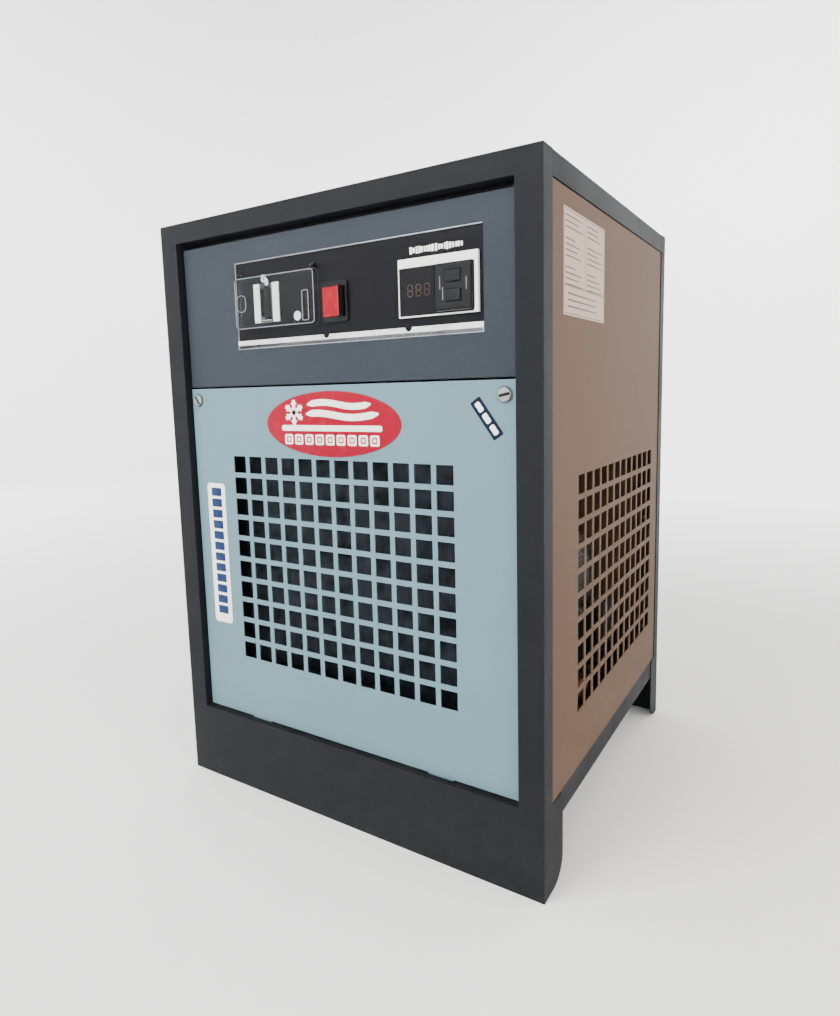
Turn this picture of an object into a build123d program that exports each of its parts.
from build123d import *

import os

# Refrigerated air dryer. Millimetres, +Z up, front face towards -Y.
# The origin is on the floor, under the middle of the whole machine.

# Cabinet
WIDTH = 500.0
DEPTH = 460.0
HEIGHT = 705.0
PORT_REACH = 20.0
SKIN = 1.5
PANEL = 1.2
POST = 27.0
TOP_RAIL = 23.0
PLINTH = 92.0
TRAY_LEVEL = 65.0
FRONT_RETURN = 22.0
FRONT_FOOT = 50.0
REAR_RETURN = 20.0
REAR_FOOT = 36.0
FOOT_RADIUS = 25.0
STEP_RADIUS = 4.0
SEAT_DEPTH = 22.0
LIP = 28.0
LEDGE_LIP = 12.0
FIT = 0.3
SHEET_GAP = 0.5

HALF = WIDTH / 2
FRONT = -(DEPTH + PORT_REACH) / 2
REAR = FRONT + DEPTH
OPEN_HALF = HALF - POST
OPEN_TOP = HEIGHT - TOP_RAIL
SEAT = FRONT + SEAT_DEPTH
TRAY_TOP = TRAY_LEVEL + SKIN

# Front panels
RECESS = 8.0
FACE = FRONT + RECESS
PANEL_SIDE_GAP = 2.5
UPPER_TOP_GAP = 7.0
UPPER_HEIGHT = 166.0
PANEL_GAP = 2.0
PANEL_HALF = OPEN_HALF - PANEL_SIDE_GAP
UPPER_TOP = OPEN_TOP - UPPER_TOP_GAP
UPPER_LOW = UPPER_TOP - UPPER_HEIGHT
LOWER_TOP = UPPER_LOW - PANEL_GAP
LOWER_LOW = PLINTH + PANEL_GAP
TAB_WIDTH = 30.0
TAB_DROP = 8.0
TAB_X = 130.0
TAB_Y = FACE + 1.0
TAB_SLOT_DEPTH = 9.0

# Punched grilles
HOLE = 20.0
PITCH = 26.0
COLUMNS = 12
ROWS = 10
FRONT_GRILLE_Z = LOWER_LOW + 204.0
SIDE_GRILLE_Z = PLINTH + 190.0
SIDE_GRILLE_Y = FRONT + 250.0
SIDE_FLANGE = 12.0
SIDE_RECESS = 1.0

# Quarter-turn locks
LOCK_X = OPEN_HALF - LIP / 2
LOCK_Z = LOWER_TOP - 14.0
LOCK_HEAD_R = 6.75
LOCK_HEAD = 2.5
LOCK_SHAFT_R = 4.0
SHAFT_FIT = 0.05
BAR_LONG = 20.0
BAR_WIDE = 7.0
BAR_THICK = 2.0
SLOT_MARGIN = 2.0

# Instrument window
WINDOW_RIGHT = PANEL_HALF - 32.0
WINDOW_LEFT = WINDOW_RIGHT - 322.5
WINDOW_LOW = UPPER_LOW + 42.0
WINDOW_TOP = WINDOW_LOW + 99.0
PLATE_LAP = 6.0
PLATE = 2.0
PLATE_FACE = FACE + PANEL
PLATE_BACK = PLATE_FACE + PLATE
STRIP_HEIGHT = 10.0
STRIP_NOTCH = 8.0
NOTCH_XS = (WINDOW_LEFT + 134.0, WINDOW_LEFT + 239.0)

BREAKER_X = WINDOW_LEFT + 48.5
BREAKER_Z = WINDOW_LOW + 50.5
NOSE_WIDE = 38.0
NOSE_TALL = 43.0
BREAKER_WIDE = 84.0
BREAKER_DEEP = 60.0
NOSE_FRONT = PLATE_FACE - 1.0
TOGGLE_ZONE = 18.0
TOGGLE_R = 7.5
TOGGLE_AXIS_Y = NOSE_FRONT + 6.0
TOGGLE_LEVER = 11.0
TOGGLE_TILT = 35.0

FLAP_LEFT = WINDOW_LEFT + 6.0
FLAP_RIGHT = FLAP_LEFT + 119.0
FLAP_LOW = WINDOW_LOW + 22.0
FLAP_TOP = FLAP_LOW + 58.0
FLAP_WALL = 1.5
FLAP_FRONT = FRONT + 1.0
FLAP_HINGE_Z = FLAP_TOP + 3.0
FLAP_HINGE_Y = PLATE_FACE - 3.0
FLAP_EAR_R = 2.4
FLAP_PIN_R = 1.2
FLAP_EAR_X = 52.0
FLAP_EAR = 4.0
FLAP_BRACKET = 3.0
FLAP_CENTRE_X = (FLAP_LEFT + FLAP_RIGHT) / 2

ROCKER_X = FLAP_RIGHT + 22.0
ROCKER_Z = WINDOW_LOW + 43.0
ROCKER_TALL = 31.0
ROCKER_HALF = 13.2
ROCKER_END = 9.8
ROCKER_DIP = 6.6
ROCKER_AXIS_Y = FRONT + 13.0
ROCKER_TILT = 12.0
ROCKER_PIN_R = 1.6
BEZEL_WIDE = 34.5
BEZEL_TALL = 42.0
BEZEL_PROUD = 2.7
BEZEL_OPEN_HALF = 15.3
BEZEL_DEEP = 26.0

CONTROL_RIGHT = WINDOW_RIGHT - 4.5
CONTROL_LEFT = CONTROL_RIGHT - 88.0
CONTROL_LOW = WINDOW_LOW + 19.0
CONTROL_TOP = CONTROL_LOW + 56.0
CONTROL_PROUD = 3.7
CONTROL_RIM = 3.5
CONTROL_BAR = 9.0
CONTROL_DEEP = 50.0
KEYPAD_LEFT = CONTROL_LEFT + 43.0
KEYPAD_RIGHT = CONTROL_RIGHT - 6.0
KEYPAD_PROUD = 6.0
KEY_WIDE = 17.0
KEY_TALL = 11.0
KEY_X = (KEYPAD_LEFT + KEYPAD_RIGHT) / 2
KEY_TRAVEL = 0.8
KEY_PROUD = 1.6
KEY_STEM = 4.0

# Labels
LABEL = 0.4
BADGE = 1.0
BADGE_WIDE = 187.0
BADGE_TALL = 72.0
BADGE_Z = LOWER_TOP - 42.5
STRIP_LABEL_AT = (-PANEL_HALF + 33.0, LOWER_LOW + 206.0)
WINDOW_LABEL_AT = (PANEL_HALF - 30.5, LOWER_TOP - 36.0)
WINDOW_LABEL_TURN = -54.5
RATING_LABEL_AT = (FRONT + 113.5, OPEN_TOP - 67.0)

# Condenser, fan and compressor
CORE_HALF = 165.0
CORE_FRONT = SEAT + 13.0
CORE_BACK = CORE_FRONT + 44.0
CORE_LOW = TRAY_TOP + 93.5
CORE_TOP = CORE_LOW + 270.0
END_PLATE = 2.0
END_LAP = 2.0
BEND_PITCH = 30.0
BEND_TUBE_R = 5.0
BEND_REACH = 14.0
BEND_ROW = 25.0
SHROUD_DEEP = 34.0
SHROUD_SHEET = 1.5
SHROUD_BACK = CORE_BACK + SHROUD_DEEP
FAN_Z = (CORE_LOW + CORE_TOP) / 2
FAN_OPENING_R = 118.0
COLLAR_DEEP = 20.0
FAN_Y = SHROUD_BACK + 14.0
FAN_BLADES = 5
BLADE_TIP_R = 108.0
BLADE_ROOT_R = 18.0
BLADE_WIDE = 46.0
BLADE_PITCH = 28.0
HUB_R = 24.0
HUB_DEEP = 22.0
SHAFT_R = 4.0
MOTOR_FACE = SHROUD_BACK + 32.0
MOTOR_DEEP = 56.0
MOTOR_R = 38.0
ARM_R = 128.0
ARM = 3.0
ARM_WIDE = 12.0

COMP_X = 110.0
COMP_Y = REAR - 110.0
COMP_R = 75.0
COMP_LOW = TRAY_TOP + 25.5
COMP_TOP = COMP_LOW + 198.0
COMP_DOME = 38.0
SEAM_PROUD = 2.5
FOOT_PLATE = 3.0
STUD_ROOM = 18.3
FOOT_PITCH = (COMP_R + STUD_ROOM) / 2**0.5
GROMMET_R = 12.0
STUD_R = 4.0

# Air circuit
HX_X = -150.0
HX_Y = REAR - 95.0
HX_WIDE = 130.0
DRAIN_Z = PLINTH + 8.0
HX_LOW = DRAIN_Z + 30.0
HX_TOP = HX_LOW + 340.0
HX_EDGE = 18.0
SEP_Y = HX_Y - 140.0
SEP_R = 36.0
SEP_TOP = HX_LOW + 200.0
STAND_FRONT = SEP_Y - SEP_R - 9.0
STAND = 3.0
DRAIN_R = 6.0
VALVE_Y = SEP_Y + 55.0
VALVE_R = 11.0
LEVER_LONG = 22.0
SOLENOID_Y = VALVE_Y + 58.0
COIL_R = 14.0
AIR_TUBE_R = 14.0
AIR_TUBE_WALL = 2.0
PORT_R = 21.0
PORT_BORE_R = 15.2
PORT_FLANGE_R = 28.0
INLET_X = HX_X - 32.0
OUTLET_X = HX_X + 32.0
INLET_Z = HX_TOP + 130.0
OUTLET_Z = HX_TOP + 70.0

# Refrigerant circuit
GAS_TUBE_R = 5.0
SUCTION_R = 9.0
LIQUID_TUBE_R = 4.0
CAPILLARY_R = 1.5
DRIER_R = 18.0
DRIER_X = 200.0
DRIER_Z = TRAY_TOP + 43.5
DRIER_BACK = COMP_Y - COMP_R - 25.0
DRIER_FRONT = DRIER_BACK - 100.0
BYPASS_X = 30.0
BYPASS_Y = COMP_Y - COMP_R - 30.0
SUCTION_Z = HX_TOP - 50.0
BYPASS_Z = SUCTION_Z - 40.0
RISER_Z = SUCTION_Z + 35.0
DISCHARGE_Z = COMP_LOW + 123.0

# Electrical tray
SHELF_LOW = UPPER_LOW + 2.0
SHELF_HALF = OPEN_HALF - 11.0
SHELF_TOP = SHELF_LOW + SKIN
SHELF_FRONT = SEAT + SKIN
SHELF_BACK = SHELF_FRONT + 106.5
SHELF_WALL_TOP = SHELF_LOW + 89.0
TERMINAL_HALF = 60.0
TERMINAL_Y = SHELF_BACK - 40.0
CAPACITOR_R = 20.0
CAPACITOR_TALL = 85.0
CAPACITOR_X = 165.0
CAPACITOR_Y = SHELF_BACK - 30.0
GLAND_X = 150.0
GLAND_Z = OPEN_TOP - 122.0
GLAND_R = 11.0
GLAND_BORE_R = 6.0

# Rear panel screws
SCREW_R = 2.0
SCREW_HEAD_R = 4.0
SCREW_HEAD = 2.0
SCREW_X = OPEN_HALF + 6.0

os.makedirs("parts", exist_ok=True)


def at_depth(y):
    """Upright plane facing the front, y behind the origin; local X is X and local Y is Z."""
    return Plane.XZ.offset(-y)


def at_side(x):
    """Upright plane facing +X; local X is Y and local Y is Z."""
    return Plane.YZ.offset(x)


def block(x0, x1, y0, y1, z0, z1, mode=Mode.ADD):
    """Rectangular block between two corners."""
    with Locations(((x0 + x1) / 2, (y0 + y1) / 2, (z0 + z1) / 2)):
        Box(abs(x1 - x0), abs(y1 - y0), abs(z1 - z0), mode=mode)


def rod_y(x, z, y0, y1, radius, mode=Mode.ADD):
    """Round bar along Y."""
    with Locations(Location((x, (y0 + y1) / 2, z), (90, 0, 0))):
        Cylinder(radius, abs(y1 - y0), mode=mode)


def rod_z(x, y, z0, z1, radius, mode=Mode.ADD):
    """Round bar along Z."""
    with Locations((x, y, (z0 + z1) / 2)):
        Cylinder(radius, abs(z1 - z0), mode=mode)


def rod_x(y, z, x0, x1, radius, mode=Mode.ADD):
    """Round bar along X."""
    with Locations(Location(((x0 + x1) / 2, y, z), (0, 90, 0))):
        Cylinder(radius, abs(x1 - x0), mode=mode)


def tube(points, bend, radius, bore=0.0):
    """Round tube along straight runs joined by arcs of the bend radius."""
    with BuildLine() as route:
        if len(points) > 2:
            FilletPolyline(*points, radius=bend)
        else:
            Line(*points)
    start = Plane(origin=route.line @ 0, z_dir=route.line % 0)
    with BuildSketch(start) as section:
        Circle(radius)
        if bore > 0:
            Circle(bore, mode=Mode.SUBTRACT)
    sweep(section.sketch, path=route.line)


def save(builder, name):
    """Label a finished piece and write it to its own file."""
    builder.part.label = name
    export_step(builder.part, f"parts/{name}.step")


def side_outline(face_y, inward, post, foot):
    """Side return of a front or rear frame: a narrow post above a deeper rounded foot."""
    with BuildSketch(at_side(HALF)) as outline:
        with BuildLine():
            Polyline(
                (face_y, 0),
                (face_y + inward * foot, 0),
                (face_y + inward * foot, PLINTH),
                (face_y + inward * post, PLINTH),
                (face_y + inward * post, HEIGHT),
                (face_y, HEIGHT),
                close=True,
            )
        make_face()
        corner = outline.vertices().sort_by_distance((face_y + inward * foot, 0))[0]
        fillet(corner, FOOT_RADIUS)
        step = outline.vertices().sort_by_distance((face_y + inward * foot, PLINTH))[0]
        fillet(step, STEP_RADIUS)
    return outline.sketch


# ---------------------------------------------------------------- cabinet

with BuildPart() as front_frame:
    with BuildSketch(at_depth(FRONT)):
        with Locations((0, HEIGHT / 2)):
            Rectangle(WIDTH, HEIGHT)
        with Locations((0, (PLINTH + OPEN_TOP) / 2)):
            Rectangle(2 * OPEN_HALF, OPEN_TOP - PLINTH, mode=Mode.SUBTRACT)
    extrude(amount=-SKIN)
    extrude(side_outline(FRONT, 1, FRONT_RETURN, FRONT_FOOT), amount=-SKIN)
    mirror(about=Plane.YZ)
    block(-HALF, HALF, FRONT, FRONT + FRONT_RETURN, HEIGHT - SKIN, HEIGHT)
    for side in (-1, 1):
        block(side * OPEN_HALF, side * (OPEN_HALF + SKIN), FRONT, SEAT + SKIN, PLINTH, OPEN_TOP)
        block(
            side * (OPEN_HALF - LIP),
            side * (OPEN_HALF + SKIN),
            SEAT,
            SEAT + SKIN,
            PLINTH - SKIN,
            OPEN_TOP + SKIN,
        )
    block(-OPEN_HALF - SKIN, OPEN_HALF + SKIN, FRONT, SEAT + SKIN, PLINTH - SKIN, PLINTH)
    block(-OPEN_HALF - SKIN, OPEN_HALF + SKIN, FRONT, SEAT + SKIN, OPEN_TOP, OPEN_TOP + SKIN)
    block(-OPEN_HALF, OPEN_HALF, SEAT, SEAT + SKIN, PLINTH, PLINTH + LEDGE_LIP)
    block(-OPEN_HALF, OPEN_HALF, SEAT, SEAT + SKIN, OPEN_TOP - LEDGE_LIP, OPEN_TOP)
    for side in (-1, 1):
        with BuildSketch(at_depth(SEAT)):
            with Locations((side * LOCK_X, LOCK_Z)):
                RectangleRounded(BAR_WIDE + SLOT_MARGIN, BAR_LONG + 2 * SLOT_MARGIN, SLOT_MARGIN)
        extrude(amount=-SKIN, mode=Mode.SUBTRACT)
        block(
            side * TAB_X - TAB_WIDTH / 2 - SLOT_MARGIN,
            side * TAB_X + TAB_WIDTH / 2 + SLOT_MARGIN,
            TAB_Y - FIT,
            TAB_Y + TAB_SLOT_DEPTH,
            PLINTH - SKIN,
            PLINTH,
            mode=Mode.SUBTRACT,
        )
save(front_frame, "front_frame")

with BuildPart() as rear_frame:
    with BuildSketch(at_depth(REAR)):
        with Locations((0, HEIGHT / 2)):
            Rectangle(WIDTH, HEIGHT)
        with Locations((0, (PLINTH + OPEN_TOP) / 2)):
            Rectangle(2 * OPEN_HALF, OPEN_TOP - PLINTH, mode=Mode.SUBTRACT)
    extrude(amount=SKIN)
    extrude(side_outline(REAR, -1, REAR_RETURN, REAR_FOOT), amount=-SKIN)
    mirror(about=Plane.YZ)
    block(-HALF, HALF, REAR - REAR_RETURN, REAR, HEIGHT - SKIN, HEIGHT)
    for side in (-1, 1):
        for row in range(4):
            z = PLINTH + 40 + row * (OPEN_TOP - PLINTH - 80) / 3
            rod_y(side * SCREW_X, z, REAR - SKIN, REAR, SCREW_R + FIT, mode=Mode.SUBTRACT)
save(rear_frame, "rear_frame")

with BuildPart() as base_tray:
    block(-HALF + SKIN, HALF - SKIN, FRONT + SKIN, REAR - SKIN, TRAY_LEVEL, TRAY_TOP)
    for side in (-1, 1):
        block(side * (HALF - 2 * SKIN), side * (HALF - SKIN), FRONT + SKIN, REAR - SKIN, TRAY_LEVEL, PLINTH)
save(base_tray, "base_tray")

COVER_FRONT = FRONT + FRONT_RETURN + FIT
COVER_REAR = REAR - REAR_RETURN - FIT
with BuildPart() as top_cover:
    block(-HALF, HALF, COVER_FRONT, COVER_REAR, HEIGHT - SKIN, HEIGHT)
    for side in (-1, 1):
        block(side * (HALF - SKIN), side * HALF, COVER_FRONT, COVER_REAR, OPEN_TOP, HEIGHT)
    inner = HALF - 2 * SKIN
    block(-inner, inner, FRONT + 2 * SKIN, COVER_FRONT + LEDGE_LIP, HEIGHT - 2 * SKIN, HEIGHT - SKIN)
    block(-inner, inner, COVER_REAR - LEDGE_LIP, REAR - 2 * SKIN, HEIGHT - 2 * SKIN, HEIGHT - SKIN)
save(top_cover, "top_cover")

SIDE_FRONT = FRONT + FRONT_RETURN + SHEET_GAP
SIDE_REAR = REAR - REAR_RETURN - SHEET_GAP
SIDE_TOP = OPEN_TOP - SHEET_GAP
SIDE_FACE = HALF - SIDE_RECESS


def side_panel(side):
    """Folded side panel with its punched grille; side is -1 for left and 1 for right."""
    inner_x = side * (SIDE_FACE - PANEL)
    flange_x = side * (SIDE_FACE - SIDE_FLANGE)
    with BuildPart() as panel:
        with BuildSketch(at_side(side * SIDE_FACE)):
            with Locations(((SIDE_FRONT + SIDE_REAR) / 2, (PLINTH + SIDE_TOP) / 2)):
                Rectangle(SIDE_REAR - SIDE_FRONT, SIDE_TOP - PLINTH)
            with Locations((SIDE_GRILLE_Y, SIDE_GRILLE_Z)):
                with GridLocations(PITCH, PITCH, COLUMNS, ROWS):
                    Rectangle(HOLE, HOLE, mode=Mode.SUBTRACT)
        extrude(amount=-side * PANEL)
        block(inner_x, flange_x, SIDE_FRONT, SIDE_FRONT + PANEL, PLINTH, SIDE_TOP)
        block(inner_x, flange_x, SIDE_REAR - PANEL, SIDE_REAR, PLINTH, SIDE_TOP)
        block(inner_x, flange_x, SIDE_FRONT, SIDE_REAR, PLINTH, PLINTH + PANEL)
        block(inner_x, flange_x, SIDE_FRONT, SIDE_REAR, SIDE_TOP - PANEL, SIDE_TOP)
    return panel


save(side_panel(-1), "left_side_panel")
save(side_panel(1), "right_side_panel")

BACK_INNER = REAR - SKIN - PANEL
BACK_LAP = 12.0
with BuildPart() as rear_panel:
    block(
        -OPEN_HALF - BACK_LAP,
        OPEN_HALF + BACK_LAP,
        BACK_INNER,
        REAR - SKIN,
        PLINTH - BACK_LAP,
        OPEN_TOP + BACK_LAP,
    )
    rod_y(INLET_X, INLET_Z, BACK_INNER, REAR, PORT_R + FIT, mode=Mode.SUBTRACT)
    rod_y(OUTLET_X, OUTLET_Z, BACK_INNER, REAR, PORT_R + FIT, mode=Mode.SUBTRACT)
    rod_y(GLAND_X, GLAND_Z, BACK_INNER, REAR, GLAND_R + FIT, mode=Mode.SUBTRACT)
    rod_y(HX_X, DRAIN_Z, BACK_INNER, REAR, DRAIN_R + 1 + FIT, mode=Mode.SUBTRACT)
    for side in (-1, 1):
        for row in range(4):
            z = PLINTH + 40 + row * (OPEN_TOP - PLINTH - 80) / 3
            rod_y(side * SCREW_X, z, BACK_INNER, REAR, SCREW_R + FIT, mode=Mode.SUBTRACT)
save(rear_panel, "rear_panel")

with BuildPart() as panel_screws:
    for side in (-1, 1):
        for row in range(4):
            z = PLINTH + 40 + row * (OPEN_TOP - PLINTH - 80) / 3
            rod_y(side * SCREW_X, z, REAR, REAR + SCREW_HEAD, SCREW_HEAD_R)
            rod_y(side * SCREW_X, z, BACK_INNER - 4, REAR, SCREW_R)
save(panel_screws, "panel_screws")


def panel_pan(low, high, depth):
    """Folded pan: a flat face with four flanges turned back by the given depth."""
    block(-PANEL_HALF, PANEL_HALF, FACE, FACE + PANEL, low, high)
    for side in (-1, 1):
        block(side * (PANEL_HALF - PANEL), side * PANEL_HALF, FACE, FACE + depth, low, high)
    block(-PANEL_HALF, PANEL_HALF, FACE, FACE + depth, low, low + PANEL)
    block(-PANEL_HALF, PANEL_HALF, FACE, FACE + depth, high - PANEL, high)


with BuildPart() as control_panel:
    panel_pan(UPPER_LOW, UPPER_TOP, SEAT - FACE)
    block(WINDOW_LEFT, WINDOW_RIGHT, FACE, FACE + PANEL, WINDOW_LOW, WINDOW_TOP, mode=Mode.SUBTRACT)
save(control_panel, "control_panel")

with BuildPart() as instrument_plate:
    block(
        WINDOW_LEFT - PLATE_LAP,
        WINDOW_RIGHT + PLATE_LAP,
        PLATE_FACE,
        PLATE_BACK,
        WINDOW_LOW - PLATE_LAP,
        WINDOW_TOP + PLATE_LAP,
    )
    block(
        BREAKER_X - NOSE_WIDE / 2 - FIT,
        BREAKER_X + NOSE_WIDE / 2 + FIT,
        PLATE_FACE,
        PLATE_BACK,
        BREAKER_Z - NOSE_TALL / 2 - FIT,
        BREAKER_Z + NOSE_TALL / 2 + FIT,
        mode=Mode.SUBTRACT,
    )
    block(
        ROCKER_X - BEZEL_OPEN_HALF - SKIN,
        ROCKER_X + BEZEL_OPEN_HALF + SKIN,
        PLATE_FACE,
        PLATE_BACK,
        ROCKER_Z - ROCKER_TALL / 2 - 3,
        ROCKER_Z + ROCKER_TALL / 2 + 3,
        mode=Mode.SUBTRACT,
    )
    block(
        CONTROL_LEFT + CONTROL_RIM,
        CONTROL_RIGHT - CONTROL_RIM,
        PLATE_FACE,
        PLATE_BACK,
        CONTROL_LOW + CONTROL_RIM,
        CONTROL_TOP - CONTROL_RIM,
        mode=Mode.SUBTRACT,
    )
    for side in (-1, 1):
        bracket_x = FLAP_CENTRE_X + side * (FLAP_EAR_X + (FLAP_EAR + FLAP_BRACKET) / 2 + SHEET_GAP)
        block(
            bracket_x - FLAP_BRACKET / 2,
            bracket_x + FLAP_BRACKET / 2,
            FLAP_HINGE_Y,
            PLATE_FACE,
            FLAP_HINGE_Z - FLAP_EAR_R,
            FLAP_HINGE_Z + FLAP_EAR_R,
        )
        rod_x(
            FLAP_HINGE_Y,
            FLAP_HINGE_Z,
            bracket_x - FLAP_BRACKET / 2,
            bracket_x + FLAP_BRACKET / 2,
            FLAP_EAR_R,
        )
        rod_x(FLAP_HINGE_Y, FLAP_HINGE_Z, bracket_x, bracket_x - side * 6.5, FLAP_PIN_R)
save(instrument_plate, "instrument_plate")

with BuildPart() as trim_strip:
    block(
        WINDOW_LEFT + SHEET_GAP,
        WINDOW_RIGHT - SHEET_GAP,
        FACE,
        PLATE_FACE,
        WINDOW_LOW + SHEET_GAP,
        WINDOW_LOW + STRIP_HEIGHT,
    )
    for notch_x in NOTCH_XS:
        rod_y(notch_x, WINDOW_LOW + STRIP_HEIGHT, FACE, PLATE_FACE, STRIP_NOTCH / 2, mode=Mode.SUBTRACT)
save(trim_strip, "trim_strip")

# ---------------------------------------------------------------- breaker

POCKET_HALF_TALL = NOSE_TALL / 2 - 2.5
with BuildPart() as breaker_body:
    block(
        BREAKER_X - NOSE_WIDE / 2,
        BREAKER_X + NOSE_WIDE / 2,
        NOSE_FRONT,
        PLATE_BACK,
        BREAKER_Z - NOSE_TALL / 2,
        BREAKER_Z + NOSE_TALL / 2,
    )
    block(
        BREAKER_X - BREAKER_WIDE / 2,
        BREAKER_X + BREAKER_WIDE / 2,
        PLATE_BACK,
        PLATE_BACK + BREAKER_DEEP,
        BREAKER_Z - NOSE_TALL / 2,
        BREAKER_Z + NOSE_TALL / 2,
    )
    rod_z(
        BREAKER_X,
        TOGGLE_AXIS_Y,
        BREAKER_Z - POCKET_HALF_TALL,
        BREAKER_Z + POCKET_HALF_TALL,
        TOGGLE_R + FIT,
        mode=Mode.SUBTRACT,
    )
    block(
        BREAKER_X - TOGGLE_ZONE / 2,
        BREAKER_X + TOGGLE_ZONE / 2,
        NOSE_FRONT,
        TOGGLE_AXIS_Y,
        BREAKER_Z - POCKET_HALF_TALL,
        BREAKER_Z + POCKET_HALF_TALL,
        mode=Mode.SUBTRACT,
    )
    rod_z(
        BREAKER_X,
        TOGGLE_AXIS_Y,
        BREAKER_Z - POCKET_HALF_TALL - 1.6,
        BREAKER_Z + POCKET_HALF_TALL + 1.6,
        ROCKER_PIN_R + SHAFT_FIT,
        mode=Mode.SUBTRACT,
    )
save(breaker_body, "breaker_body")

with BuildPart() as breaker_toggle:
    rod_z(
        BREAKER_X,
        TOGGLE_AXIS_Y,
        BREAKER_Z - POCKET_HALF_TALL + FIT,
        BREAKER_Z + POCKET_HALF_TALL - FIT,
        TOGGLE_R,
    )
    rod_z(
        BREAKER_X,
        TOGGLE_AXIS_Y,
        BREAKER_Z - POCKET_HALF_TALL - 1.2,
        BREAKER_Z + POCKET_HALF_TALL + 1.2,
        ROCKER_PIN_R,
    )
    lever_turn = Location((BREAKER_X, TOGGLE_AXIS_Y, BREAKER_Z), (0, 0, -TOGGLE_TILT))
    with Locations(lever_turn * Location((0, -TOGGLE_LEVER / 2, 0))):
        Box(4.0, TOGGLE_LEVER, NOSE_TALL - 12)
    fillet(breaker_toggle.edges().filter_by(Axis.Z).sort_by(Axis.Y)[:2], 1.5)
save(breaker_toggle, "breaker_toggle")

with BuildPart() as breaker_cover:
    with BuildSketch(at_depth(FLAP_FRONT)):
        with Locations((FLAP_CENTRE_X, (FLAP_LOW + FLAP_TOP) / 2)):
            RectangleRounded(FLAP_RIGHT - FLAP_LEFT, FLAP_TOP - FLAP_LOW, 6.0)
    extrude(amount=-(PLATE_FACE - FIT - FLAP_FRONT))
    with BuildSketch(at_depth(FLAP_FRONT + FLAP_WALL)):
        with Locations((FLAP_CENTRE_X, (FLAP_LOW + FLAP_TOP) / 2)):
            RectangleRounded(
                FLAP_RIGHT - FLAP_LEFT - 2 * FLAP_WALL,
                FLAP_TOP - FLAP_LOW - 2 * FLAP_WALL,
                6.0 - FLAP_WALL,
            )
    extrude(amount=-RECESS, mode=Mode.SUBTRACT)
    for side in (-1, 1):
        ear_x = FLAP_CENTRE_X + side * FLAP_EAR_X
        rod_x(FLAP_HINGE_Y, FLAP_HINGE_Z, ear_x - FLAP_EAR / 2, ear_x + FLAP_EAR / 2, FLAP_EAR_R)
        block(
            ear_x - FLAP_EAR / 2,
            ear_x + FLAP_EAR / 2,
            FLAP_HINGE_Y - FLAP_EAR_R,
            FLAP_HINGE_Y + FLAP_EAR_R,
            FLAP_TOP - FLAP_WALL,
            FLAP_HINGE_Z,
        )
        rod_x(
            FLAP_HINGE_Y,
            FLAP_HINGE_Z,
            ear_x - FLAP_EAR,
            ear_x + FLAP_EAR,
            FLAP_PIN_R + SHAFT_FIT,
            mode=Mode.SUBTRACT,
        )
save(breaker_cover, "breaker_cover")

# ---------------------------------------------------------------- rocker switch

ROCKER_SPACE = ROCKER_TALL / 2 + 0.4
with BuildPart() as switch_bezel:
    bezel_face = PLATE_FACE - BEZEL_PROUD
    with BuildSketch(at_depth(bezel_face)):
        with Locations((ROCKER_X, ROCKER_Z)):
            RectangleRounded(BEZEL_WIDE, BEZEL_TALL, 3.0)
    extrude(amount=-BEZEL_PROUD)
    block(
        ROCKER_X - BEZEL_OPEN_HALF - SKIN + FIT,
        ROCKER_X + BEZEL_OPEN_HALF + SKIN - FIT,
        PLATE_FACE,
        PLATE_FACE + BEZEL_DEEP,
        ROCKER_Z - ROCKER_SPACE - 2,
        ROCKER_Z + ROCKER_SPACE + 2,
    )
    block(
        ROCKER_X - BEZEL_OPEN_HALF,
        ROCKER_X + BEZEL_OPEN_HALF,
        bezel_face,
        PLATE_FACE + BEZEL_DEEP - 4,
        ROCKER_Z - ROCKER_SPACE,
        ROCKER_Z + ROCKER_SPACE,
        mode=Mode.SUBTRACT,
    )
    rod_z(
        ROCKER_X,
        ROCKER_AXIS_Y,
        ROCKER_Z - ROCKER_SPACE - 1.6,
        ROCKER_Z + ROCKER_SPACE + 1.6,
        ROCKER_PIN_R + SHAFT_FIT,
        mode=Mode.SUBTRACT,
    )
save(switch_bezel, "switch_bezel")

with BuildPart() as power_rocker:
    rocker_plane = Plane(
        origin=(ROCKER_X, ROCKER_AXIS_Y, ROCKER_Z - ROCKER_TALL / 2),
        x_dir=Vector(1, 0, 0).rotate(Axis.Z, -ROCKER_TILT),
        z_dir=(0, 0, 1),
    )
    with BuildSketch(rocker_plane):
        with BuildLine():
            Polyline(
                (-ROCKER_HALF, -ROCKER_END),
                (0, -ROCKER_DIP),
                (ROCKER_HALF, -ROCKER_END),
                (ROCKER_HALF - 3, 2),
                (6, 5),
                (-6, 5),
                (-ROCKER_HALF + 3, 2),
                close=True,
            )
        make_face()
    extrude(amount=ROCKER_TALL)
    rod_z(
        ROCKER_X,
        ROCKER_AXIS_Y,
        ROCKER_Z - ROCKER_SPACE - 1.2,
        ROCKER_Z + ROCKER_SPACE + 1.2,
        ROCKER_PIN_R,
    )
save(power_rocker, "power_rocker")

# ---------------------------------------------------------------- controller

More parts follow.
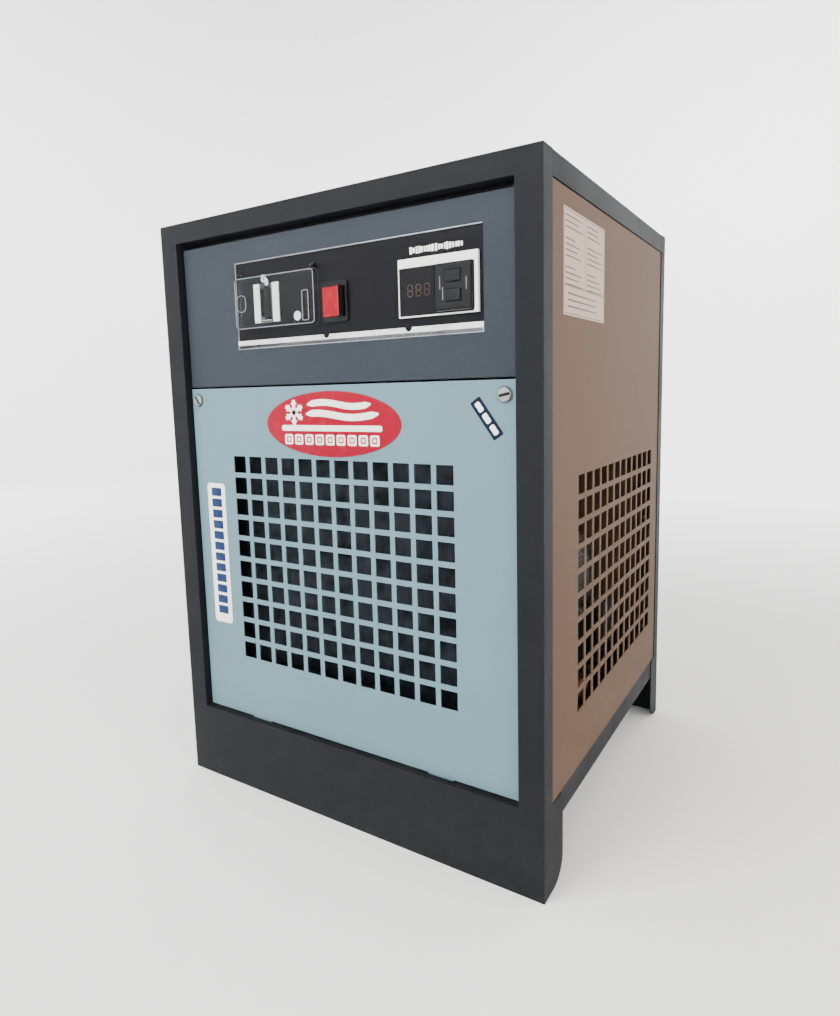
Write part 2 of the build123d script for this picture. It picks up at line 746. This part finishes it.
CONTROL_FACE = PLATE_FACE - CONTROL_PROUD
KEY_ZS = (CONTROL_LOW + 17.0, CONTROL_LOW + 35.0)
with BuildPart() as controller_body:
    block(CONTROL_LEFT, CONTROL_RIGHT, CONTROL_FACE, PLATE_FACE, CONTROL_LOW, CONTROL_TOP)
    block(
        CONTROL_LEFT + CONTROL_RIM + FIT,
        CONTROL_RIGHT - CONTROL_RIM - FIT,
        PLATE_FACE,
        PLATE_FACE + CONTROL_DEEP,
        CONTROL_LOW + CONTROL_RIM + FIT,
        CONTROL_TOP - CONTROL_RIM - FIT,
    )
    block(
        CONTROL_LEFT + CONTROL_RIM,
        CONTROL_RIGHT - CONTROL_RIM,
        CONTROL_FACE,
        PLATE_FACE,
        CONTROL_LOW + CONTROL_RIM,
        CONTROL_TOP - CONTROL_BAR,
        mode=Mode.SUBTRACT,
    )
save(controller_body, "controller_body")

with BuildPart() as controller_display:
    block(
        CONTROL_LEFT + CONTROL_RIM + FIT,
        KEYPAD_LEFT - FIT,
        CONTROL_FACE + 1,
        PLATE_FACE,
        CONTROL_LOW + CONTROL_RIM + FIT,
        CONTROL_TOP - CONTROL_BAR - FIT,
    )
save(controller_display, "controller_display")

KEYPAD_FACE = PLATE_FACE - KEYPAD_PROUD
with BuildPart() as controller_keypad:
    block(
        KEYPAD_LEFT,
        KEYPAD_RIGHT,
        KEYPAD_FACE,
        PLATE_FACE,
        CONTROL_LOW + CONTROL_RIM + FIT,
        CONTROL_TOP - CONTROL_BAR - FIT,
    )
    front_edges = controller_keypad.faces().sort_by(Axis.Y)[0].edges()
    chamfer(front_edges, 1.2)
    for key_z in KEY_ZS:
        block(
            KEY_X - KEY_WIDE / 2 - FIT,
            KEY_X + KEY_WIDE / 2 + FIT,
            KEYPAD_FACE,
            KEYPAD_FACE + KEY_STEM + KEY_TRAVEL + FIT,
            key_z - KEY_TALL / 2 - FIT,
            key_z + KEY_TALL / 2 + FIT,
            mode=Mode.SUBTRACT,
        )
save(controller_keypad, "controller_keypad")


def controller_key(key_z):
    """Push key with softened front edges, sliding in its well."""
    with BuildPart() as key:
        block(
            KEY_X - KEY_WIDE / 2,
            KEY_X + KEY_WIDE / 2,
            KEYPAD_FACE - KEY_PROUD,
            KEYPAD_FACE + KEY_STEM,
            key_z - KEY_TALL / 2,
            key_z + KEY_TALL / 2,
        )
        chamfer(key.faces().sort_by(Axis.Y)[0].edges(), 0.8)
    return key


save(controller_key(KEY_ZS[0]), "down_key")
save(controller_key(KEY_ZS[1]), "up_key")

# ---------------------------------------------------------------- front panel and locks

with BuildPart() as front_panel:
    panel_pan(LOWER_LOW, LOWER_TOP, SEAT - FACE - FIT)
    with BuildSketch(at_depth(FACE)):
        with Locations((0, FRONT_GRILLE_Z)):
            with GridLocations(PITCH, PITCH, COLUMNS, ROWS):
                Rectangle(HOLE, HOLE)
        with Locations((-LOCK_X, LOCK_Z), (LOCK_X, LOCK_Z)):
            Circle(LOCK_SHAFT_R + SHAFT_FIT)
    extrude(amount=-PANEL, mode=Mode.SUBTRACT)
    for side in (-1, 1):
        block(
            side * TAB_X - TAB_WIDTH / 2,
            side * TAB_X + TAB_WIDTH / 2,
            TAB_Y,
            TAB_Y + PANEL,
            LOWER_LOW - TAB_DROP,
            LOWER_LOW + PANEL,
        )
save(front_panel, "front_panel")


def quarter_turn(side, slot_angle):
    """Slotted head in front of the panel, shaft through it and a flat bar behind the lip."""
    x = side * LOCK_X
    bar_front = SEAT + SKIN + 0.7
    with BuildPart() as lock:
        rod_y(x, LOCK_Z, FACE - LOCK_HEAD, FACE - 0.1, LOCK_HEAD_R)
        fillet(lock.faces().sort_by(Axis.Y)[0].edges(), 1.0)
        rod_y(x, LOCK_Z, FACE - LOCK_HEAD, bar_front, LOCK_SHAFT_R)
        rod_y(x, LOCK_Z, FACE + PANEL + 0.1, FACE + PANEL + 2.1, LOCK_SHAFT_R + 2)
        block(
            x - BAR_WIDE / 2,
            x + BAR_WIDE / 2,
            bar_front,
            bar_front + BAR_THICK,
            LOCK_Z - BAR_LONG / 2,
            LOCK_Z + BAR_LONG / 2,
        )
        with Locations(Location((x, FACE - LOCK_HEAD, LOCK_Z), (0, slot_angle, 0))):
            Box(2 * LOCK_HEAD_R, 2.0, 1.8, mode=Mode.SUBTRACT)
    return lock


save(quarter_turn(-1, 45), "left_lock")
save(quarter_turn(1, 0), "right_lock")

with BuildPart() as badge:
    with BuildSketch(at_depth(FACE)):
        with Locations((0, BADGE_Z)):
            Ellipse(BADGE_WIDE / 2, BADGE_TALL / 2)
    extrude(amount=BADGE)
save(badge, "badge")

with BuildPart() as strip_label:
    with BuildSketch(at_depth(FACE)):
        with Locations(STRIP_LABEL_AT):
            RectangleRounded(31.0, 180.0, 5.0)
    extrude(amount=LABEL)
save(strip_label, "strip_label")

with BuildPart() as window_label:
    with BuildSketch(at_depth(FACE)):
        with Locations(Location((*WINDOW_LABEL_AT, 0), (0, 0, WINDOW_LABEL_TURN))):
            RectangleRounded(43.0, 12.0, 1.5)
    extrude(amount=LABEL)
save(window_label, "window_label")

with BuildPart() as rating_label:
    with BuildSketch(at_side(SIDE_FACE)):
        with Locations(RATING_LABEL_AT):
            Rectangle(125.0, 98.0)
    extrude(amount=LABEL)
save(rating_label, "rating_label")

# ---------------------------------------------------------------- condenser and fan

PLATE_FRONT = CORE_FRONT - END_LAP
PLATE_REAR = CORE_BACK + END_LAP
with BuildPart() as condenser_core:
    block(-CORE_HALF, CORE_HALF, CORE_FRONT, CORE_BACK, CORE_LOW, CORE_TOP)
save(condenser_core, "condenser_core")

with BuildPart() as condenser_plates:
    for side in (-1, 1):
        inner_x = side * CORE_HALF
        outer_x = side * (CORE_HALF + END_PLATE)
        block(inner_x, outer_x, PLATE_FRONT, PLATE_REAR, TRAY_TOP, CORE_TOP + END_LAP)
        block(inner_x, side * (CORE_HALF + 18), PLATE_FRONT, PLATE_REAR, TRAY_TOP, TRAY_TOP + END_PLATE)
save(condenser_plates, "condenser_plates")

BEND_COUNT = int((CORE_TOP - CORE_LOW) / BEND_PITCH)
BEND_Y = (CORE_FRONT + CORE_BACK) / 2 - 11.0
with BuildPart() as condenser_bends:
    for side in (-1, 1):
        for step in range(BEND_COUNT):
            bend_z = CORE_LOW + BEND_PITCH * (step + 0.5)
            x0 = side * (CORE_HALF + END_PLATE)
            x1 = side * (CORE_HALF + END_PLATE + BEND_REACH)
            near, far = BEND_Y, BEND_Y + BEND_ROW
            tube(
                [(x0, near, bend_z), (x1, near, bend_z), (x1, far, bend_z), (x0, far, bend_z)],
                BEND_ROW / 2 - 0.5,
                BEND_TUBE_R,
            )
save(condenser_bends, "condenser_bends")

SHROUD_HALF = CORE_HALF + END_PLATE
SHROUD_LOW = CORE_LOW - 4
SHROUD_TOP = CORE_TOP + END_LAP
with BuildPart() as fan_shroud:
    block(-SHROUD_HALF, SHROUD_HALF, PLATE_REAR, SHROUD_BACK, SHROUD_LOW, SHROUD_TOP)
    block(
        -SHROUD_HALF + SHROUD_SHEET,
        SHROUD_HALF - SHROUD_SHEET,
        PLATE_REAR,
        SHROUD_BACK - SHROUD_SHEET,
        SHROUD_LOW + SHROUD_SHEET,
        SHROUD_TOP - SHROUD_SHEET,
        mode=Mode.SUBTRACT,
    )
    rod_y(0, FAN_Z, SHROUD_BACK - SHROUD_SHEET, SHROUD_BACK + COLLAR_DEEP, FAN_OPENING_R + SHROUD_SHEET)
    rod_y(0, FAN_Z, SHROUD_BACK - SHROUD_SHEET, SHROUD_BACK + COLLAR_DEEP, FAN_OPENING_R, mode=Mode.SUBTRACT)
    for turn in (45, 135, 225, 315):
        post = Location((0, 0, FAN_Z), (0, turn, 0))
        with Locations(post * Location((ARM_R - ARM / 2, (SHROUD_BACK + MOTOR_FACE) / 2, 0))):
            Box(ARM, MOTOR_FACE - SHROUD_BACK, ARM_WIDE)
        with Locations(post * Location(((ARM_R + MOTOR_R) / 2 - 3, MOTOR_FACE - ARM / 2, 0))):
            Box(ARM_R - MOTOR_R + 6, ARM, ARM_WIDE)
    rod_y(0, FAN_Z, MOTOR_FACE - ARM, MOTOR_FACE, MOTOR_R + 2)
    rod_y(0, FAN_Z, MOTOR_FACE - ARM, MOTOR_FACE, MOTOR_R - 16, mode=Mode.SUBTRACT)
save(fan_shroud, "fan_shroud")

with BuildPart() as fan_motor:
    rod_y(0, FAN_Z, MOTOR_FACE, MOTOR_FACE + MOTOR_DEEP, MOTOR_R)
    fillet(fan_motor.faces().sort_by(Axis.Y)[-1].edges(), 8.0)
    rod_y(0, FAN_Z, FAN_Y - HUB_DEEP / 2 - 2, MOTOR_FACE, SHAFT_R)
save(fan_motor, "fan_motor")

with BuildPart() as condenser_fan:
    rod_y(0, FAN_Z, FAN_Y - HUB_DEEP / 2, FAN_Y + HUB_DEEP / 2, HUB_R)
    for blade in range(FAN_BLADES):
        turn = Location((0, FAN_Y, FAN_Z), (0, blade * 360 / FAN_BLADES, 0))
        reach = Location(((BLADE_TIP_R + BLADE_ROOT_R) / 2, 0, 0), (90 - BLADE_PITCH, 0, 0))
        with Locations(turn * reach):
            Box(BLADE_TIP_R - BLADE_ROOT_R, BLADE_WIDE, 1.6)
    rod_y(0, FAN_Z, FAN_Y - HUB_DEEP, FAN_Y + HUB_DEEP, SHAFT_R + SHAFT_FIT, mode=Mode.SUBTRACT)
save(condenser_fan, "condenser_fan")

# ---------------------------------------------------------------- compressor

GROMMET_TOP = COMP_LOW - FOOT_PLATE
with BuildPart() as compressor_shell:
    rod_z(COMP_X, COMP_Y, COMP_LOW, COMP_TOP, COMP_R)
    chamfer(compressor_shell.faces().sort_by(Axis.Z)[0].edges(), 14)
    fillet(compressor_shell.faces().sort_by(Axis.Z)[-1].edges(), COMP_DOME)
    seam_z = (COMP_LOW + COMP_TOP) / 2
    rod_z(COMP_X, COMP_Y, seam_z - 3, seam_z + 3, COMP_R + SEAM_PROUD)
save(compressor_shell, "compressor_shell")

with BuildPart() as compressor_foot_plate:
    with BuildSketch(Plane.XY.offset(GROMMET_TOP)):
        with Locations((COMP_X, COMP_Y)):
            RectangleRounded(2 * FOOT_PITCH + 30, 2 * FOOT_PITCH + 30, 14)
            with GridLocations(2 * FOOT_PITCH, 2 * FOOT_PITCH, 2, 2):
                Circle(STUD_R + FIT, mode=Mode.SUBTRACT)
    extrude(amount=FOOT_PLATE)
save(compressor_foot_plate, "compressor_foot_plate")

with BuildPart() as compressor_grommets:
    with BuildSketch(Plane.XY.offset(TRAY_TOP)):
        with Locations((COMP_X, COMP_Y)):
            with GridLocations(2 * FOOT_PITCH, 2 * FOOT_PITCH, 2, 2):
                Circle(GROMMET_R)
                Circle(STUD_R + FIT, mode=Mode.SUBTRACT)
    extrude(amount=GROMMET_TOP - TRAY_TOP)
save(compressor_grommets, "compressor_grommets")

with BuildPart() as compressor_studs:
    with BuildSketch(Plane.XY.offset(TRAY_TOP)):
        with Locations((COMP_X, COMP_Y)):
            with GridLocations(2 * FOOT_PITCH, 2 * FOOT_PITCH, 2, 2):
                Circle(STUD_R)
    extrude(amount=COMP_LOW - TRAY_TOP + 12)
    with BuildSketch(Plane.XY.offset(COMP_LOW)):
        with Locations((COMP_X, COMP_Y)):
            with GridLocations(2 * FOOT_PITCH, 2 * FOOT_PITCH, 2, 2):
                RegularPolygon(STUD_R * 1.9, 6)
    extrude(amount=7)
save(compressor_studs, "compressor_studs")

with BuildPart() as compressor_terminal_cover:
    block(COMP_X + COMP_R - 6, COMP_X + COMP_R + 24, COMP_Y - 26, COMP_Y + 26, COMP_LOW + 50, COMP_LOW + 110)
    rod_z(COMP_X, COMP_Y, COMP_LOW, COMP_TOP, COMP_R + SEAM_PROUD + FIT, mode=Mode.SUBTRACT)
    fillet(compressor_terminal_cover.edges().filter_by(Axis.Z).sort_by(Axis.X)[-2:], 6)
save(compressor_terminal_cover, "compressor_terminal_cover")

# ---------------------------------------------------------------- air circuit

HX_FRONT = HX_Y - HX_WIDE / 2
HX_REAR = HX_Y + HX_WIDE / 2
with BuildPart() as heat_exchanger:
    block(HX_X - HX_WIDE / 2, HX_X + HX_WIDE / 2, HX_FRONT, HX_REAR, HX_LOW, HX_TOP)
    fillet(heat_exchanger.edges().filter_by(Axis.Z), HX_EDGE)
    fillet(heat_exchanger.faces().sort_by(Axis.Z)[-1].edges(), 6)
save(heat_exchanger, "heat_exchanger")

with BuildPart() as exchanger_stand:
    left = HX_X - HX_WIDE / 2
    right = HX_X + HX_WIDE / 2
    block(left, right, STAND_FRONT, HX_REAR, HX_LOW - STAND, HX_LOW)
    block(left, right, STAND_FRONT, STAND_FRONT + STAND, TRAY_TOP, HX_LOW)
    block(left, right, HX_REAR - STAND, HX_REAR, TRAY_TOP, HX_LOW)
    block(left, right, STAND_FRONT, STAND_FRONT + 20, TRAY_TOP, TRAY_TOP + STAND)
    rod_z(HX_X, SEP_Y, HX_LOW - STAND, HX_LOW, DRAIN_R + 2, mode=Mode.SUBTRACT)
    rod_y(HX_X, DRAIN_Z, HX_REAR - STAND, HX_REAR, DRAIN_R + 2, mode=Mode.SUBTRACT)
save(exchanger_stand, "exchanger_stand")

with BuildPart() as moisture_separator:
    rod_z(HX_X, SEP_Y, HX_LOW, SEP_TOP, SEP_R)
    fillet(moisture_separator.faces().sort_by(Axis.Z)[-1].edges(), 12)
    rod_z(HX_X, SEP_Y, DRAIN_Z + 14, HX_LOW, DRAIN_R)
    block(HX_X - 10, HX_X + 10, SEP_Y, HX_FRONT, SEP_TOP - 60, SEP_TOP - 40)
save(moisture_separator, "moisture_separator")

with BuildPart() as drain_tube:
    tube([(HX_X, SEP_Y, DRAIN_Z + 14), (HX_X, SEP_Y, DRAIN_Z), (HX_X, VALVE_Y - 16, DRAIN_Z)], 12.0, DRAIN_R)
    tube([(HX_X, VALVE_Y + 16, DRAIN_Z), (HX_X, SOLENOID_Y - 18, DRAIN_Z)], 0, DRAIN_R)
    tube([(HX_X, SOLENOID_Y + 18, DRAIN_Z), (HX_X, BACK_INNER - 6, DRAIN_Z)], 0, DRAIN_R)
save(drain_tube, "drain_tube")

with BuildPart() as drain_ball_valve:
    rod_y(HX_X, DRAIN_Z, VALVE_Y - 16, VALVE_Y + 16, VALVE_R)
    rod_x(VALVE_Y, DRAIN_Z, HX_X, HX_X + VALVE_R + 9, 4.0)
save(drain_ball_valve, "drain_ball_valve")

LEVER_X = HX_X + VALVE_R + 5
with BuildPart() as drain_lever:
    rod_x(VALVE_Y, DRAIN_Z, LEVER_X - 2, LEVER_X + 2, 7.0)
    block(LEVER_X - 2, LEVER_X + 2, VALVE_Y - LEVER_LONG, VALVE_Y, DRAIN_Z - 4, DRAIN_Z + 4)
    rod_x(VALVE_Y, DRAIN_Z, LEVER_X - 3, LEVER_X + 3, 4.0 + SHAFT_FIT, mode=Mode.SUBTRACT)
save(drain_lever, "drain_lever")

with BuildPart() as drain_solenoid:
    block(HX_X - 12, HX_X + 12, SOLENOID_Y - 18, SOLENOID_Y + 18, DRAIN_Z - 12, DRAIN_Z + 12)
    rod_x(SOLENOID_Y, DRAIN_Z, HX_X + 12, HX_X + 48, COIL_R)
save(drain_solenoid, "drain_solenoid")

with BuildPart() as drain_outlet:
    rod_y(HX_X, DRAIN_Z, BACK_INNER - 6, BACK_INNER, DRAIN_R + 5)
    rod_y(HX_X, DRAIN_Z, BACK_INNER, REAR, DRAIN_R + 1)
    rod_y(HX_X, DRAIN_Z, REAR, REAR + 15, DRAIN_R - 1)
    rod_y(HX_X, DRAIN_Z, BACK_INNER - 6, REAR + 15, DRAIN_R - 3, mode=Mode.SUBTRACT)
save(drain_outlet, "drain_outlet")


def air_pipe(pipe_x, port_z):
    """Pipe from the top of the heat exchanger to a threaded port through the rear panel."""
    with BuildPart() as pipe:
        tube(
            [(pipe_x, HX_Y, HX_TOP), (pipe_x, HX_Y, port_z), (pipe_x, REAR - 12, port_z)],
            34.0,
            AIR_TUBE_R,
            AIR_TUBE_R - AIR_TUBE_WALL,
        )
        rod_y(pipe_x, port_z, REAR - 14, REAR + PORT_REACH, PORT_R)
        rod_y(pipe_x, port_z, BACK_INNER - 5, BACK_INNER, PORT_FLANGE_R)
        rod_y(pipe_x, port_z, REAR - 16, REAR + PORT_REACH, AIR_TUBE_R - AIR_TUBE_WALL, mode=Mode.SUBTRACT)
        rod_y(pipe_x, port_z, REAR, REAR + PORT_REACH, PORT_BORE_R, mode=Mode.SUBTRACT)
    return pipe


save(air_pipe(INLET_X, INLET_Z), "air_inlet_pipe")
save(air_pipe(OUTLET_X, OUTLET_Z), "air_outlet_pipe")

# ---------------------------------------------------------------- refrigerant circuit

END_X = CORE_HALF + END_PLATE
BYPASS_END = BYPASS_Y + 40
with BuildPart() as discharge_line:
    tube(
        [
            (COMP_X, COMP_Y - COMP_R, DISCHARGE_Z),
            (COMP_X, BYPASS_Y, DISCHARGE_Z),
            (COMP_X, BYPASS_Y, RISER_Z),
            (END_X + 20, BYPASS_Y, RISER_Z),
            (END_X + 20, BEND_Y, RISER_Z),
            (END_X + 20, BEND_Y, CORE_TOP - 5),
            (END_X, BEND_Y, CORE_TOP - 5),
        ],
        12.0,
        GAS_TUBE_R,
    )
save(discharge_line, "discharge_line")

with BuildPart() as suction_line:
    tube(
        [
            (HX_X + HX_WIDE / 2, COMP_Y, SUCTION_Z),
            (COMP_X, COMP_Y, SUCTION_Z),
            (COMP_X, COMP_Y, COMP_TOP),
        ],
        30.0,
        SUCTION_R,
    )
save(suction_line, "suction_line")

with BuildPart() as liquid_line:
    tube(
        [
            (END_X, BEND_Y, CORE_LOW + 3),
            (DRIER_X, BEND_Y, CORE_LOW + 3),
            (DRIER_X, BEND_Y, DRIER_Z),
            (DRIER_X, DRIER_FRONT, DRIER_Z),
        ],
        14.0,
        LIQUID_TUBE_R,
    )
save(liquid_line, "liquid_line")

with BuildPart() as filter_drier:
    rod_y(DRIER_X, DRIER_Z, DRIER_FRONT, DRIER_BACK, DRIER_R)
    fillet(filter_drier.edges().filter_by(GeomType.CIRCLE), 11.0)
save(filter_drier, "filter_drier")

with BuildPart() as capillary_tube:
    tube(
        [
            (DRIER_X, DRIER_BACK, DRIER_Z),
            (DRIER_X, DRIER_BACK + 12, DRIER_Z),
            (DRIER_X, DRIER_BACK + 12, DRIER_Z - 26),
            (HX_X + 100, DRIER_BACK + 12, DRIER_Z - 26),
            (HX_X + 100, HX_FRONT + 40, DRIER_Z - 26),
            (HX_X + 100, HX_FRONT + 40, HX_LOW + 20),
            (HX_X + HX_WIDE / 2, HX_FRONT + 40, HX_LOW + 20),
        ],
        8.0,
        CAPILLARY_R,
    )
save(capillary_tube, "capillary_tube")

with BuildPart() as hot_gas_bypass:
    rod_y(BYPASS_X, BYPASS_Z, BYPASS_Y - 10, BYPASS_END, 16.0)
    tube([(COMP_X - GAS_TUBE_R, BYPASS_Y, BYPASS_Z), (BYPASS_X, BYPASS_Y, BYPASS_Z)], 0, LIQUID_TUBE_R)
    tube(
        [
            (BYPASS_X, BYPASS_END - 2, BYPASS_Z),
            (BYPASS_X, COMP_Y, BYPASS_Z),
            (BYPASS_X, COMP_Y, SUCTION_Z - SUCTION_R),
        ],
        12.0,
        LIQUID_TUBE_R,
    )
save(hot_gas_bypass, "hot_gas_bypass")

# ---------------------------------------------------------------- electrical parts

with BuildPart() as electrical_tray:
    block(-SHELF_HALF, SHELF_HALF, SHELF_FRONT, SHELF_BACK, SHELF_LOW, SHELF_TOP)
    for side in (-1, 1):
        block(
            side * (SHELF_HALF - SKIN),
            side * SHELF_HALF,
            SHELF_FRONT,
            SHELF_BACK,
            SHELF_LOW,
            SHELF_WALL_TOP,
        )
        block(
            side * (OPEN_HALF - LIP),
            side * SHELF_HALF,
            SHELF_FRONT,
            SHELF_FRONT + SKIN,
            SHELF_LOW,
            SHELF_WALL_TOP,
        )
save(electrical_tray, "electrical_tray")

with BuildPart() as terminal_block:
    block(-TERMINAL_HALF, TERMINAL_HALF, TERMINAL_Y - 15, TERMINAL_Y + 15, SHELF_TOP, SHELF_TOP + 12)
    block(-TERMINAL_HALF, TERMINAL_HALF, TERMINAL_Y - 8, TERMINAL_Y + 8, SHELF_TOP, SHELF_TOP + 26)
    with BuildSketch(Plane.XY.offset(SHELF_TOP + 12)):
        with Locations((0, TERMINAL_Y - 11.5), (0, TERMINAL_Y + 11.5)):
            with GridLocations(12, 1, 10, 1):
                Circle(2.4)
    extrude(amount=-5, mode=Mode.SUBTRACT)
save(terminal_block, "terminal_block")

with BuildPart() as run_capacitor:
    rod_z(CAPACITOR_X, CAPACITOR_Y, SHELF_TOP, SHELF_TOP + CAPACITOR_TALL, CAPACITOR_R)
    fillet(run_capacitor.faces().sort_by(Axis.Z)[-1].edges(), 4)
save(run_capacitor, "run_capacitor")

with BuildPart() as cable_gland:
    rod_y(GLAND_X, GLAND_Z, BACK_INNER - 12, REAR + 14, GLAND_R)
    with BuildSketch(at_depth(BACK_INNER)):
        with Locations((GLAND_X, GLAND_Z)):
            RegularPolygon(GLAND_R + 5, 6)
    extrude(amount=5)
    with BuildSketch(at_depth(REAR)):
        with Locations((GLAND_X, GLAND_Z)):
            RegularPolygon(GLAND_R + 4, 6)
    extrude(amount=-6)
    rod_y(GLAND_X, GLAND_Z, BACK_INNER - 20, REAR + 20, GLAND_BORE_R, mode=Mode.SUBTRACT)
save(cable_gland, "cable_gland")
